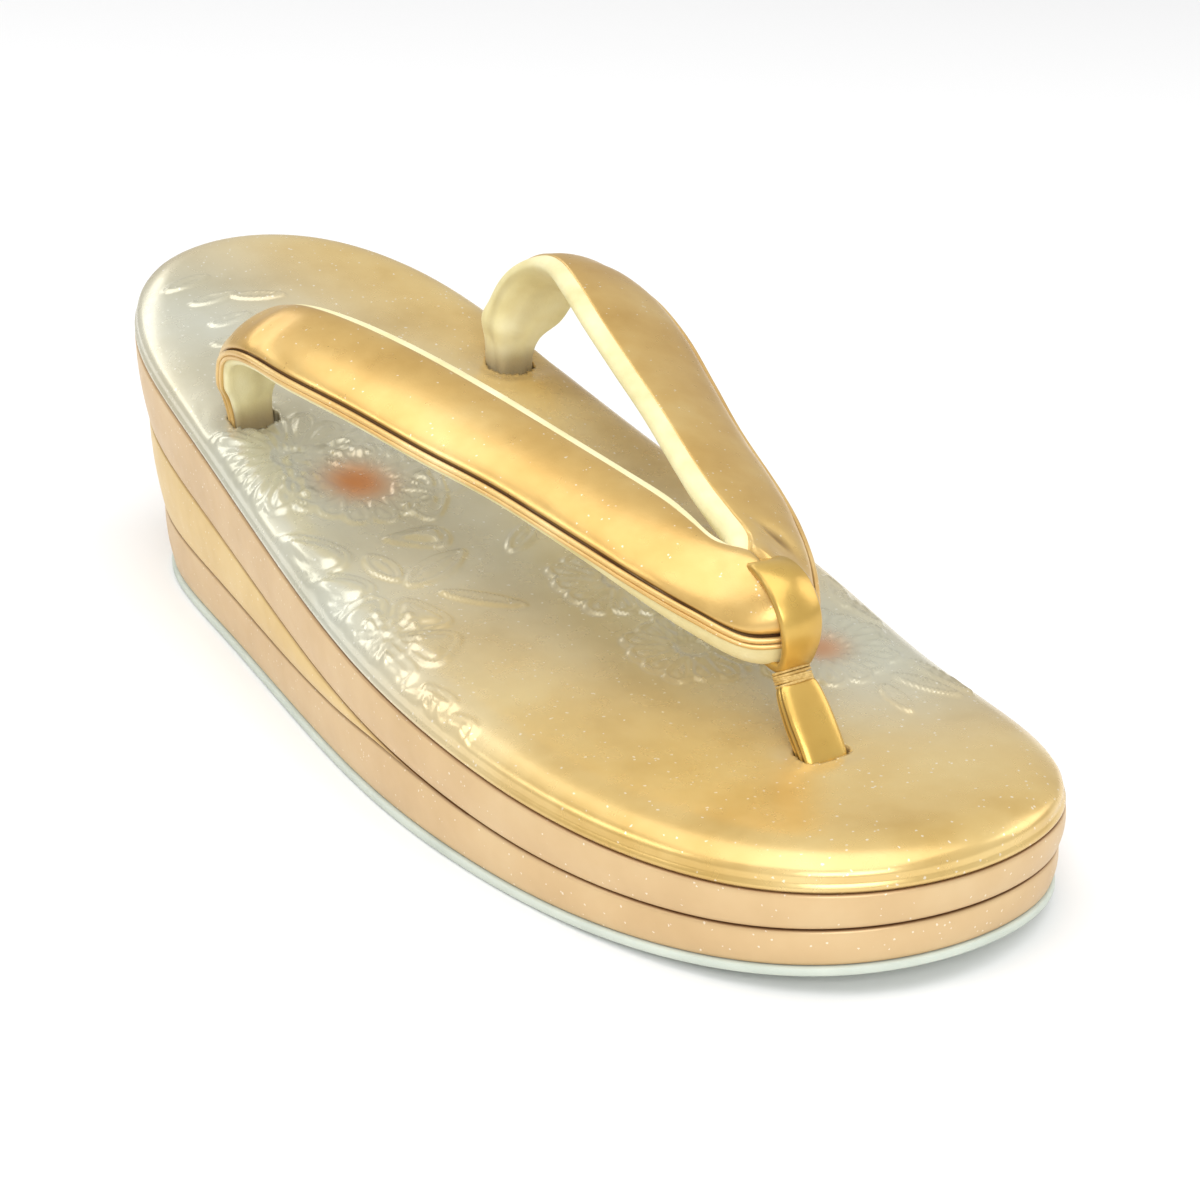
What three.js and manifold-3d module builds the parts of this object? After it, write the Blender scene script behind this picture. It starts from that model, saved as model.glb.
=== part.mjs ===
// A zori sandal for the right foot, standing on its sole.
// Millimetres, +Z up, toe towards -Y, heel towards +Y, wearer's left towards +X.
// The origin is on the ground, under the centre of the whole sandal.
import * as THREE from 'three';
import { mergeVertices } from 'three/addons/utils/BufferGeometryUtils.js';
import Module from 'manifold-3d';

const wasm = await Module();
wasm.setup();

// ---------------------------------------------------------------- driving sizes
const LENGTH = 240;                 // sole, heel tip to toe tip
const STRAP_PLANE_X = 2.6;          // the straps' middle plane, from the centre of the box
const OUTLINE_POINTS = 72;          // points round one outline
const FIT_GAP = 0.3;                // air between two pieces that meet
const OUTSOLE_RUBBER = 1.6;         // thickness of the outsole
const OUTSOLE_MARGIN = 0.8;         // how far the outsole stands out past the layer above it
const TOE_SPRING = 4.3;             // lift of the sole at the toe tip
const SPRING_START = 0.72;          // where the sole leaves the ground, as a share of the length
const HEEL_RAKE = 4.4;              // how far the heel's wall leans in from top to ground
const WALL_RAKE = 1.8;              // lean of the wall at the toe
const WEDGE_END = 0.58;             // where the heel wedge stops, as a share of the length
const PAD_THICKNESS = 6.5;          // cushioned insole at its middle

// Half widths of the sole each side of the straps' middle plane. The rows are the control
// points of a smooth closed curve, so the curve runs a little inside them.
const SOLE_WIDTHS = [
  { fromHeel: 0.030, medial: 21.8, lateral: 21.6 },
  { fromHeel: 0.117, medial: 35.6, lateral: 34.4 },
  { fromHeel: 0.250, medial: 38.6, lateral: 37.4 },
  { fromHeel: 0.413, medial: 40.3, lateral: 43.2 },
  { fromHeel: 0.587, medial: 43.8, lateral: 48.8 },
  { fromHeel: 0.750, medial: 38.2, lateral: 46.2 },
  { fromHeel: 0.883, medial: 38.2, lateral: 38.0 },
  { fromHeel: 0.970, medial: 25.4, lateral: 23.2 },
];

// Heights of the surfaces between the layers, above the ground and without the toe spring.
const LAYER_HEIGHTS = [
  { fromHeel: 0.00, underPad: 53.6, underTopLayer: 36.9, overBaseLayer: 15.2 },
  { fromHeel: 0.10, underPad: 47.4, underTopLayer: 31.8, overBaseLayer: 13.7 },
  { fromHeel: 0.25, underPad: 38.9, underTopLayer: 24.8, overBaseLayer: 12.1 },
  { fromHeel: 0.40, underPad: 31.4, underTopLayer: 19.0, overBaseLayer: 11.5 },
  { fromHeel: 0.50, underPad: 27.0, underTopLayer: 15.7, overBaseLayer: 11.8 },
  { fromHeel: 0.60, underPad: 23.2, underTopLayer: 13.0, overBaseLayer: 12.4 },
  { fromHeel: 0.75, underPad: 18.6, underTopLayer: 9.9, overBaseLayer: 9.9 },
  { fromHeel: 0.90, underPad: 15.3, underTopLayer: 8.3, overBaseLayer: 8.3 },
  { fromHeel: 1.00, underPad: 14.0, underTopLayer: 8.0, overBaseLayer: 8.0 },
];

// The insole's rounded shoulder, from its foot on the sole up to the crown.
const PAD_PROFILE = [
  { inset: 0.7, height: 0.0 },
  { inset: 0.1, height: 1.1 },
  { inset: 0.4, height: 2.7 },
  { inset: 1.8, height: 4.2 },
  { inset: 4.8, height: 5.3 },
  { inset: 10.0, height: 6.1 },
  { inset: 18.0, height: 6.5 },
];

// One arm of the strap, from the fold behind the toes to its end in the insole's rear hole.
// Each row gives the arm's inner and outer edge on the +X side as x, y, z, its thickness, and
// how far both arms lean towards the medial side there.
const ARM_SECTIONS = [
  { inner: [-0.7, -56.5, 48.6], outer: [-0.7, -73.8, 38.0], thick: 7.8, lean: 0 },
  { inner: [1.4, -52.5, 50.6], outer: [6.4, -69.8, 38], thick: 7.2, lean: 0 },
  { inner: [1.7, -46.5, 52.2], outer: [12.4, -61.6, 41.6], thick: 6.8, lean: 0.2 },
  { inner: [2.3, -40.5, 53.6], outer: [16.9, -51.5, 45.2], thick: 6.2, lean: 0.5 },
  { inner: [4.2, -32, 55.2], outer: [20.3, -40.1, 48.2], thick: 5.8, lean: 1 },
  { inner: [8.2, -16, 58.6], outer: [25, -21, 52.2], thick: 5.5, lean: 1.6 },
  { inner: [11.6, -1, 61.6], outer: [30.2, -5, 55.2], thick: 5.4, lean: 2 },
  { inner: [15.6, 14, 64.8], outer: [35, 10, 58.8], thick: 5.4, lean: 1.8 },
  { inner: [19.6, 26.5, 67.3], outer: [38.6, 24.6, 61.2], thick: 5.4, lean: 1.4 },
  { inner: [22.9, 36.5, 68.2], outer: [39.2, 36, 62], thick: 5.4, lean: 1.2 },
  { inner: [24.2, 44.5, 66.8], outer: [38.6, 44, 60.6], thick: 5.4, lean: 1.2 },
  { inner: [23.6, 51.5, 62.6], outer: [37.8, 49.2, 57.8], thick: 5.6, lean: 1.2 },
  { inner: [23.2, 56, 56.8], outer: [36.2, 52.6, 52.4], thick: 6, lean: 1 },
  { inner: [23.6, 57.4, 50.8], outer: [33.4, 55.4, 48.8], thick: 6.6, lean: 0.6 },
  { inner: [23.7, 57, 44.8], outer: [31.8, 56.4, 44.6], thick: 7, lean: 0.4 },
  { inner: [23.4, 56.2, 40], outer: [31.6, 56, 40], thick: 7, lean: 0.4 },
];
const ARM_POINTS = 14;              // points round one section of an arm
const CROWN_SHARE = 0.58;           // share of the thickness that is above the edges
const ARM_FULLNESS = 0.8;           // under 1 makes the section fuller than an ellipse

// The toe strap: a leather band looped round the fold of the straps, then a folded post.
const BAND_WIDTH = 8.4;
const BAND_LEATHER = 1.4;           // thickness of the folded band
const LOOP_PATH = [
  { y: -61, z: 43.8 },
  { y: -62.2, z: 48 },
  { y: -66.4, z: 50.2 },
  { y: -71.4, z: 48.8 },
  { y: -75, z: 44.4 },
  { y: -75.4, z: 39.2 },
  { y: -72.8, z: 35 },
  { y: -66.4, z: 37 },
];
const LOOP_STEPS = 32;
const POST_SECTIONS = [
  { y: -72.6, z: 35.4, wide: 5.8, deep: 2.4 },
  { y: -73.5, z: 33.4, wide: 5.0, deep: 2.4 },
  { y: -74.8, z: 31.6, wide: 7.6, deep: 3.2 },
  { y: -77.7, z: 27.8, wide: 8.6, deep: 3.8 },
  { y: -80.8, z: 23.8, wide: 8.6, deep: 3.8 },
  { y: -82.4, z: 21.0, wide: 8.6, deep: 3.8 },
  { y: -82.8, z: 18.6, wide: 8.6, deep: 3.8 },
];
const POST_POINTS = 12;
const POST_SQUARENESS = 0.6;        // under 1 makes the post's section squarer than an ellipse
const THREAD_ROW = 1;               // the post's section that the thread is wound round
const THREAD_RADIUS = 0.7;
const THREAD_CLEARANCE = 0.55;      // air between the thread and the post's neck
const THREAD_POINTS = 8;
const THREAD_STEPS = 24;

// ---------------------------------------------------------------- colours
const COLOURS = {
  rubber: { color: 0xcdd4c8, roughness: 0.7, metalness: 0 },
  rose: { color: 0xdebc91, roughness: 0.5, metalness: 0.3 },
  gold: { color: 0xdcbe78, roughness: 0.45, metalness: 0.35 },
  pad: { color: 0xd7c8a0, roughness: 0.4, metalness: 0.3 },
  leather: { color: 0xdeb86e, roughness: 0.4, metalness: 0.35 },
  antique: { color: 0xbe9646, roughness: 0.45, metalness: 0.4 },
  thread: { color: 0xc8a558, roughness: 0.6, metalness: 0.1 },
};

// ---------------------------------------------------------------- small helpers
// A smooth value from a table, between the rows on each side of the place asked for.
function fromTable(rows, column, place) {
  const at = THREE.MathUtils.clamp(place, rows[0].fromHeel, rows[rows.length - 1].fromHeel);
  let i = 0;
  while (i < rows.length - 2 && rows[i + 1].fromHeel < at) i += 1;
  const slope = (k) => {
    const a = rows[Math.max(k - 1, 0)];
    const b = rows[Math.min(k + 1, rows.length - 1)];
    return (b[column] - a[column]) / (b.fromHeel - a.fromHeel);
  };
  const run = rows[i + 1].fromHeel - rows[i].fromHeel;
  const t = (at - rows[i].fromHeel) / run;
  const startWeight = (1 + 2 * t) * (1 - t) ** 2;
  const startSlope = t * (1 - t) ** 2;
  const endWeight = t * t * (3 - 2 * t);
  const endSlope = t * t * (t - 1);
  return startWeight * rows[i][column] + startSlope * run * slope(i)
    + endWeight * rows[i + 1][column] + endSlope * run * slope(i + 1);
}

// Rings of points joined side to side, then closed over at both ends.
// With closed = true the last ring joins the first one and there are no ends.
function skin(rings, closed = false, caps = fanCap) {
  const n = rings[0].length;
  const positions = rings.flat().flatMap((p) => [p.x, p.y, p.z]);
  const triangles = [];
  const last = closed ? rings.length : rings.length - 1;
  for (let r = 0; r < last; r += 1) {
    const low = r * n;
    const high = ((r + 1) % rings.length) * n;
    for (let i = 0; i < n; i += 1) {
      const j = (i + 1) % n;
      triangles.push(low + i, low + j, high + j, low + i, high + j, high + i);
    }
  }
  if (!closed) {
    caps(n).forEach(([a, b, c]) => triangles.push(a, c, b));
    const top = (rings.length - 1) * n;
    caps(n).forEach(([a, b, c]) => triangles.push(top + a, top + b, top + c));
  }
  const geometry = new THREE.BufferGeometry();
  geometry.setAttribute('position', new THREE.Float32BufferAttribute(positions, 3));
  geometry.setIndex(triangles);
  return geometry;
}

// Triangles over a small convex ring.
function fanCap(n) {
  return Array.from({ length: n - 2 }, (_, i) => [0, i + 1, i + 2]);
}

// Triangles over a long ring that starts at one tip: rungs from side to side.
function ladderCap(n) {
  const triangles = [[0, 1, n - 1]];
  for (let i = 1; i < n / 2 - 1; i += 1) {
    triangles.push([i, i + 1, n - i - 1], [i, n - i - 1, n - i]);
  }
  triangles.push([n / 2 - 1, n / 2, n / 2 + 1]);
  return triangles;
}

function toSolid(geometry) {
  const bare = new THREE.BufferGeometry();
  bare.setAttribute('position', geometry.getAttribute('position'));
  bare.setIndex(geometry.getIndex());
  const merged = mergeVertices(bare, 1e-4);
  return new wasm.Manifold(new wasm.Mesh({
    numProp: 3,
    vertProperties: new Float32Array(merged.getAttribute('position').array),
    triVerts: new Uint32Array(merged.getIndex().array),
  }));
}

function toGeometry(solid) {
  const mesh = solid.getMesh();
  const geometry = new THREE.BufferGeometry();
  geometry.setAttribute('position', new THREE.BufferAttribute(mesh.vertProperties, 3));
  geometry.setIndex(new THREE.BufferAttribute(mesh.triVerts, 1));
  return geometry;
}

function piece(name, geometry, colour) {
  geometry.computeVertexNormals();
  const mesh = new THREE.Mesh(geometry, new THREE.MeshStandardMaterial(COLOURS[colour]));
  mesh.name = name;
  return mesh;
}

// ---------------------------------------------------------------- the sole's outline
const fromHeel = (y) => 0.5 - y / LENGTH;
const spring = (y) => TOE_SPRING * (Math.max(fromHeel(y) - SPRING_START, 0) / (1 - SPRING_START)) ** 2;
const height = (column, y) => fromTable(LAYER_HEIGHTS, column, fromHeel(y)) + spring(y);

// The closed outline, from the heel tip forward along the medial side and back.
function soleOutline() {
  const control = [
    { x: 0, y: 0 },
    ...SOLE_WIDTHS.map((row) => ({ x: row.medial, y: -row.fromHeel })),
    { x: 0, y: -1 },
    ...SOLE_WIDTHS.toReversed().map((row) => ({ x: -row.lateral, y: -row.fromHeel })),
  ];
  const points = [];
  for (let k = 0; k < OUTLINE_POINTS; k += 1) {
    const u = (k / OUTLINE_POINTS) * control.length;
    const i = Math.floor(u);
    const t = u - i;
    const weights = [
      (1 - t) ** 3 / 6,
      (3 * t ** 3 - 6 * t ** 2 + 4) / 6,
      (-3 * t ** 3 + 3 * t ** 2 + 3 * t + 1) / 6,
      t ** 3 / 6,
    ];
    const point = new THREE.Vector2();
    weights.forEach((weight, w) => {
      const c = control[(i + w - 1 + control.length) % control.length];
      point.x += weight * c.x;
      point.y += weight * c.y;
    });
    points.push(point);
  }
  const ys = points.map((p) => p.y);
  const back = Math.max(...ys);
  const front = Math.min(...ys);
  points.forEach((p) => { p.y = ((p.y - front) / (back - front) - 0.5) * LENGTH; });
  return points;
}

const OUTLINE = soleOutline();
const OUTWARD = OUTLINE.map((_, i) => {
  const before = OUTLINE[(i + OUTLINE_POINTS - 1) % OUTLINE_POINTS];
  const after = OUTLINE[(i + 1) % OUTLINE_POINTS];
  return new THREE.Vector2(before.y - after.y, after.x - before.x).normalize();
});

// A ring on the outline moved in by insetAt(y), at the height heightAt(y).
function ring(insetAt, heightAt) {
  return OUTLINE.map((p, i) => {
    const moved = p.clone().addScaledVector(OUTWARD[i], -insetAt(p.y));
    return new THREE.Vector3(moved.x, moved.y, heightAt(moved.y));
  }).toReversed();
}

// The wall's lean: none under the pad, all of it at the ground.
function rake(y, z) {
  const full = HEEL_RAKE * (1 - fromHeel(y)) ** 2 + WALL_RAKE;
  return full * (1 - (z - spring(y)) / (height('underPad', y) - spring(y)));
}

// A layer of the sole between two heights, its wall on the raked outline.
function layer(lowAt, highAt, margin = 0) {
  const wall = (at) => ring((y) => rake(y, at(y)) - margin, at);
  const middle = (y) => (lowAt(y) + highAt(y)) / 2;
  return skin([wall(lowAt), wall(middle), wall(highAt)], false, ladderCap);
}

// ---------------------------------------------------------------- sole
function outsole() {
  const top = (y) => spring(y) + OUTSOLE_RUBBER;
  const margin = (y) => rake(y, spring(y)) - OUTSOLE_MARGIN;
  return skin([ring(margin, spring), ring(margin, top)], false, ladderCap);
}

function baseLayer() {
  return layer(
    (y) => spring(y) + OUTSOLE_RUBBER + FIT_GAP,
    (y) => height('overBaseLayer', y) - FIT_GAP,
  );
}

function heelWedge() {
  const whole = toSolid(layer((y) => height('overBaseLayer', y), (y) => height('underTopLayer', y)));
  const endY = (0.5 - WEDGE_END) * LENGTH;
  const block = new THREE.BoxGeometry(LENGTH, LENGTH, LENGTH).translate(0, endY - LENGTH / 2, 0);
  return toGeometry(whole.subtract(toSolid(block)));
}

function topLayer() {
  return layer((y) => height('underTopLayer', y) + FIT_GAP, (y) => height('underPad', y));
}

// ---------------------------------------------------------------- straps
// A padded section between its inner and outer edge: domed above, flatter below.
function armSection(row, grow, side) {
  const inner = new THREE.Vector3(...row.inner);
  const outer = new THREE.Vector3(...row.outer);
  const middle = inner.clone().add(outer).multiplyScalar(0.5);
  const across = outer.clone().sub(inner);
  const half = across.length() / 2 + grow;
  across.normalize();
  const up = row.up.clone().addScaledVector(across, -row.up.dot(across)).normalize();
  const points = [];
  for (let k = 0; k < ARM_POINTS; k += 1) {
    const angle = (k / ARM_POINTS) * 2 * Math.PI;
    const rise = Math.sin(angle);
    const share = rise > 0 ? CROWN_SHARE : 1 - CROWN_SHARE;
    const lift = Math.sign(rise) * Math.abs(rise) ** ARM_FULLNESS * (row.thick * share + grow);
    points.push(middle.clone().addScaledVector(across, Math.cos(angle) * half).addScaledVector(up, lift));
  }
  points.forEach((p) => { p.x = p.x * side + row.lean; });
  return side > 0 ? points.toReversed() : points;
}

// The way that the crown faces at each section: at right angles to the arm's run.
function crownDirections() {
  const inners = ARM_SECTIONS.map((row) => new THREE.Vector3(...row.inner));
  const outers = ARM_SECTIONS.map((row) => new THREE.Vector3(...row.outer));
  const middles = inners.map((inner, i) => inner.clone().lerp(outers[i], 0.5));
  return inners.map((inner, i) => {
    const before = middles[Math.max(i - 1, 0)];
    const after = middles[Math.min(i + 1, middles.length - 1)];
    return outers[i].clone().sub(inner).cross(after.clone().sub(before)).normalize();
  });
}

function arm(side, grow = 0) {
  const ups = crownDirections();
  const rings = ARM_SECTIONS.map((row, i) => armSection({ ...row, up: ups[i] }, grow, side));
  return toSolid(skin(rings));
}

// ---------------------------------------------------------------- toe strap
// A ring of a flat band that runs round the fold of the straps.
function loop(grow = 0) {
  const path = new THREE.CatmullRomCurve3(
    LOOP_PATH.map((p) => new THREE.Vector3(0, p.y, p.z)), true, 'centripetal');
  const halfWidth = BAND_WIDTH / 2 + grow;
  const halfLeather = BAND_LEATHER / 2 + grow;
  const rings = [];
  for (let k = 0; k < LOOP_STEPS; k += 1) {
    const centre = path.getPointAt(k / LOOP_STEPS);
    const along = path.getTangentAt(k / LOOP_STEPS);
    const out = new THREE.Vector3(0, -along.z, along.y);
    const corner = (x, o) => centre.clone().addScaledVector(out, o).setX(x);
    rings.push([
      corner(-halfWidth, halfLeather),
      corner(halfWidth, halfLeather),
      corner(halfWidth, -halfLeather),
      corner(-halfWidth, -halfLeather),
    ]);
  }
  return toSolid(skin(rings, true));
}

// The direction in which the post runs at one of its sections, towards its end.
function postRun(i) {
  const before = POST_SECTIONS[Math.max(i - 1, 0)];
  const after = POST_SECTIONS[Math.min(i + 1, POST_SECTIONS.length - 1)];
  return new THREE.Vector3(0, after.y - before.y, after.z - before.z).normalize();
}

// Points round a rounded section that lies across the post's run.
function postSection(i, halfWide, halfDeep, count) {
  const row = POST_SECTIONS[i];
  const run = postRun(i);
  const deepWay = new THREE.Vector3(0, -run.z, run.y);
  return Array.from({ length: count }, (_, k) => {
    const angle = (k / count) * 2 * Math.PI;
    const c = Math.cos(angle);
    const s = Math.sin(angle);
    const point = new THREE.Vector3(0, row.y, row.z);
    point.addScaledVector(deepWay, Math.sign(s) * Math.abs(s) ** POST_SQUARENESS * halfDeep);
    return point.setX(-Math.sign(c) * Math.abs(c) ** POST_SQUARENESS * halfWide);
  });
}

function post(grow = 0) {
  return toSolid(skin(POST_SECTIONS.map((row, i) => (
    postSection(i, row.wide / 2 + grow, row.deep / 2 + grow, POST_POINTS)))));
}

// A wound thread round the post's neck, as one soft ring.
function threadBinding() {
  const row = POST_SECTIONS[THREAD_ROW];
  const reach = THREAD_RADIUS + THREAD_CLEARANCE;
  const path = postSection(THREAD_ROW, row.wide / 2 + reach, row.deep / 2 + reach, THREAD_STEPS);
  const centre = new THREE.Vector3(0, row.y, row.z);
  const run = postRun(THREAD_ROW);
  const rings = path.map((p) => {
    const out = p.clone().sub(centre).normalize();
    return Array.from({ length: THREAD_POINTS }, (_, k) => {
      const angle = (k / THREAD_POINTS) * 2 * Math.PI;
      return p.clone().addScaledVector(out, Math.cos(angle) * THREAD_RADIUS)
        .addScaledVector(run, -Math.sin(angle) * THREAD_RADIUS);
    });
  });
  return skin(rings, true);
}

function straps() {
  return toGeometry(arm(1).add(arm(-1)).subtract(loop(FIT_GAP)));
}

function toeStrap() {
  return toGeometry(loop().add(post()));
}

// ---------------------------------------------------------------- insole
function insole() {
  const rings = PAD_PROFILE.map((row) => ring(
    () => row.inset,
    (y) => height('underPad', y) + FIT_GAP + (row.height / PAD_THICKNESS) * (PAD_THICKNESS - FIT_GAP),
  ));
  const pad = toSolid(skin(rings, false, ladderCap));
  return toGeometry(pad.subtract(arm(1, FIT_GAP)).subtract(arm(-1, FIT_GAP)).subtract(post(FIT_GAP)));
}

// ---------------------------------------------------------------- assembly
const sandal = new THREE.Group();
sandal.position.x = STRAP_PLANE_X;
sandal.add(
  piece('outsole', outsole(), 'rubber'),
  piece('sole_base_layer', baseLayer(), 'rose'),
  piece('heel_wedge', heelWedge(), 'gold'),
  piece('sole_top_layer', topLayer(), 'rose'),
  piece('insole', insole(), 'pad'),
  piece('straps', straps(), 'leather'),
  piece('toe_strap', toeStrap(), 'antique'),
  piece('thread_binding', threadBinding(), 'thread'),
);

export default sandal;
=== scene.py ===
"""The looks of a zori sandal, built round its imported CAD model.

Sizes are in millimetres in the sandal's own frame: +Z up, toe towards -Y, and x = 0 on the
middle plane of the straps. to_world() turns them into Blender's metres in the CAD frame.
"""
import math

import bpy
import bmesh
import numpy as np
from mathutils import Matrix, Vector


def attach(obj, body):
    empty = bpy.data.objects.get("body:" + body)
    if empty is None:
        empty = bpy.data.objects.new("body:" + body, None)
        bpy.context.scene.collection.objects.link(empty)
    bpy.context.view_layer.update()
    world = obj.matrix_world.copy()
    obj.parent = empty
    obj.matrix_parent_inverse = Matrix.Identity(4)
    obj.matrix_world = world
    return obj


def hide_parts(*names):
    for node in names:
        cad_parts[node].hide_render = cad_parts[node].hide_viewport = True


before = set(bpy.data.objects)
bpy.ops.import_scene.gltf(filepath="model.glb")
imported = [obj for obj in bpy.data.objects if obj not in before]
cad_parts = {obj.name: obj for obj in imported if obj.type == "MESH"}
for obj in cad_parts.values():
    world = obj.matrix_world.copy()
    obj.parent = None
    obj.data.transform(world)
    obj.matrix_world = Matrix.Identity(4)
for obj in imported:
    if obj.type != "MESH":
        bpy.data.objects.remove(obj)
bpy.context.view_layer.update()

# ------ sizes shared with the CAD
MM = 0.001
LENGTH = 240.0
STRAP_PLANE_X = 2.6
OUTLINE_POINTS = 960
OUTSOLE_RUBBER = 1.6
OUTSOLE_MARGIN = 0.8
TOE_SPRING = 4.3
SPRING_START = 0.72
HEEL_RAKE = 4.4
WALL_RAKE = 1.8
# The wedge's cover thins out to here, further forward than the blunt end of its CAD solid.
WEDGE_END = 0.70
FIT_GAP = 0.12

SOLE_WIDTHS = np.array([
    # share from heel, medial half width, lateral half width
    (0.030, 21.8, 21.6),
    (0.117, 35.6, 34.4),
    (0.250, 38.6, 37.4),
    (0.413, 40.3, 43.2),
    (0.587, 43.8, 48.8),
    (0.750, 38.2, 46.2),
    (0.883, 38.2, 38.0),
    (0.970, 25.4, 23.2),
])

LAYER_HEIGHTS = np.array([
    # share from heel, under the pad, under the top layer, over the base layer
    (0.00, 53.6, 36.9, 15.2),
    (0.10, 47.4, 31.8, 13.7),
    (0.25, 38.9, 24.8, 12.1),
    (0.40, 31.4, 19.0, 11.5),
    (0.50, 27.0, 15.7, 11.8),
    (0.60, 23.2, 13.0, 12.4),
    (0.75, 18.6, 9.9, 9.9),
    (0.90, 15.3, 8.3, 8.3),
    (1.00, 14.0, 8.0, 8.0),
])
UNDER_PAD, UNDER_TOP, OVER_BASE = 1, 2, 3

# The insole's edge from its foot: a lip, a soft groove, then the start of the padded shoulder.
PAD_LIP = [
    # inset from the outline, height over the seam
    (1.00, 0.05), (0.35, 0.15), (0.05, 0.60), (0.05, 1.05), (0.40, 1.50), (0.55, 1.85),
    (0.42, 2.40), (0.62, 3.10),
]
PAD_TOP = 6.5
SHOULDER_FROM, SHOULDER_TO = 1.2, 13.4
SHOULDER_DROP = 2.6
SHOULDER_ROWS = 25
PAD_COLUMNS = 118

ARM_SECTIONS = np.array([
    # inner edge x, y, z, then outer edge x, y, z, then thickness, then lean of both arms to +X
    (-0.7, -56.5, 48.6, -0.7, -73.8, 38.0, 7.8, 0.0),
    (1.4, -52.5, 50.6, 6.4, -69.8, 38.0, 7.2, 0.0),
    (1.7, -46.5, 52.2, 12.4, -61.6, 41.6, 6.8, 0.2),
    (2.3, -40.5, 53.6, 16.9, -51.5, 45.2, 6.2, 0.5),
    (4.2, -32.0, 55.2, 20.3, -40.1, 48.2, 5.8, 1.0),
    (8.2, -16.0, 58.6, 25.0, -21.0, 52.2, 5.5, 1.6),
    (11.6, -1.0, 61.6, 30.2, -5.0, 55.2, 5.4, 2.0),
    (15.6, 14.0, 64.8, 35.0, 10.0, 58.8, 5.4, 1.8),
    (19.6, 26.5, 67.3, 38.6, 24.6, 61.2, 5.4, 1.4),
    (22.9, 36.5, 68.2, 39.2, 36.0, 62.0, 5.4, 1.2),
    (24.2, 44.5, 66.8, 38.6, 44.0, 60.6, 5.4, 1.2),
    (23.6, 51.5, 62.6, 37.8, 49.2, 57.8, 5.6, 1.2),
    (23.2, 56.0, 56.8, 36.2, 52.6, 52.4, 6.0, 1.0),
    (23.6, 57.4, 50.8, 33.4, 55.4, 48.8, 6.6, 0.6),
    (23.7, 57.0, 44.8, 31.8, 56.4, 44.6, 7.0, 0.4),
    (23.4, 56.2, 40.0, 31.6, 56.0, 40.0, 7.0, 0.4),
])
ARM_STATIONS = 180
CROWN_SHARE = 0.58

BAND_WIDTH = 8.4
BAND_LEATHER = 1.4
LOOP_PATH = [(-61.0, 43.8), (-62.2, 48.0), (-66.4, 50.2), (-71.4, 48.8),
             (-75.0, 44.4), (-75.4, 39.2), (-72.8, 35.0), (-66.4, 37.0)]
POST_SECTIONS = np.array([
    # y, z, width, depth
    (-72.6, 35.4, 5.8, 2.4),
    (-73.5, 33.4, 5.0, 2.4),
    (-74.8, 31.6, 7.6, 3.2),
    (-77.7, 27.8, 8.6, 3.8),
    (-80.8, 23.8, 8.6, 3.8),
    (-82.4, 21.0, 8.6, 3.8),
    (-82.8, 18.6, 8.6, 3.8),
])


# ------ camera
CAMERA_PLACE = (-293.5, -462.7, 253.8)
CAMERA_TARGET = (-9.8, -32.6, 34.4)
CAMERA_ROLL = math.radians(-0.13)
CAMERA_LENS = 100.5


def to_world(points):
    """Millimetres on the straps' middle plane to metres in the CAD frame."""
    points = np.asarray(points, dtype=float)
    return (points + np.array([STRAP_PLANE_X, 0.0, 0.0])) * MM


def add_object(name, data):
    added = bpy.data.objects.new(name, data)
    bpy.context.collection.objects.link(added)
    return added


def make_camera():
    data = bpy.data.cameras.new("camera")
    data.lens = CAMERA_LENS
    data.sensor_width = 36.0
    data.clip_start = 0.01
    camera = add_object("camera", data)
    place = Vector(to_world(CAMERA_PLACE))
    look = Vector(to_world(CAMERA_TARGET)) - place
    turn = look.to_track_quat("-Z", "Y").to_matrix().to_4x4()
    camera.matrix_world = Matrix.Translation(place) @ turn @ Matrix.Rotation(CAMERA_ROLL, 4, "Z")
    bpy.context.scene.camera = camera


make_camera()


# ------ small functions
def unit_rows(vectors):
    return vectors / np.linalg.norm(vectors, axis=1)[:, None]


def closed_run(path):
    """The way a closed path runs at each of its points."""
    return np.roll(path, -1, axis=0) - np.roll(path, 1, axis=0)


def squared(value, power):
    """A sine or cosine made fuller, so that it draws a rounded square in place of a circle."""
    return np.sign(value) * np.abs(value) ** power


def bell(distance, reach):
    """1 at no distance, and almost 0 from twice the reach on."""
    return np.exp(-((distance / reach) ** 2))


def step_up(distance, reach):
    """0 well before, a half at no distance, 1 well past."""
    return 1 / (1 + np.exp(-distance / reach))


def distance_to(points, path):
    """How far each point is from an open path, in plan."""
    a, b = path[:-1], path[1:]
    span = b - a
    length = (span ** 2).sum(1) + 1e-9
    offset = points[:, None, :] - a[None]
    t = np.clip((offset * span[None]).sum(2) / length[None], 0, 1)
    gap = offset - t[..., None] * span[None]
    return np.sqrt((gap ** 2).sum(2)).min(1)


def inside_outline(points, outline):
    """Whether each point is inside a closed outline, in plan."""
    inside = np.zeros(len(points), dtype=bool)
    for a, b in zip(outline, np.roll(outline, -1, axis=0)):
        crosses = (a[1] > points[:, 1]) != (b[1] > points[:, 1])
        with np.errstate(divide="ignore", invalid="ignore"):
            at = (b[0] - a[0]) * (points[:, 1] - a[1]) / (b[1] - a[1]) + a[0]
        inside ^= crosses & (points[:, 0] < at)
    return inside


# ------ the sole's outline
def from_heel(y):
    return 0.5 - np.asarray(y) / LENGTH


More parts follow.
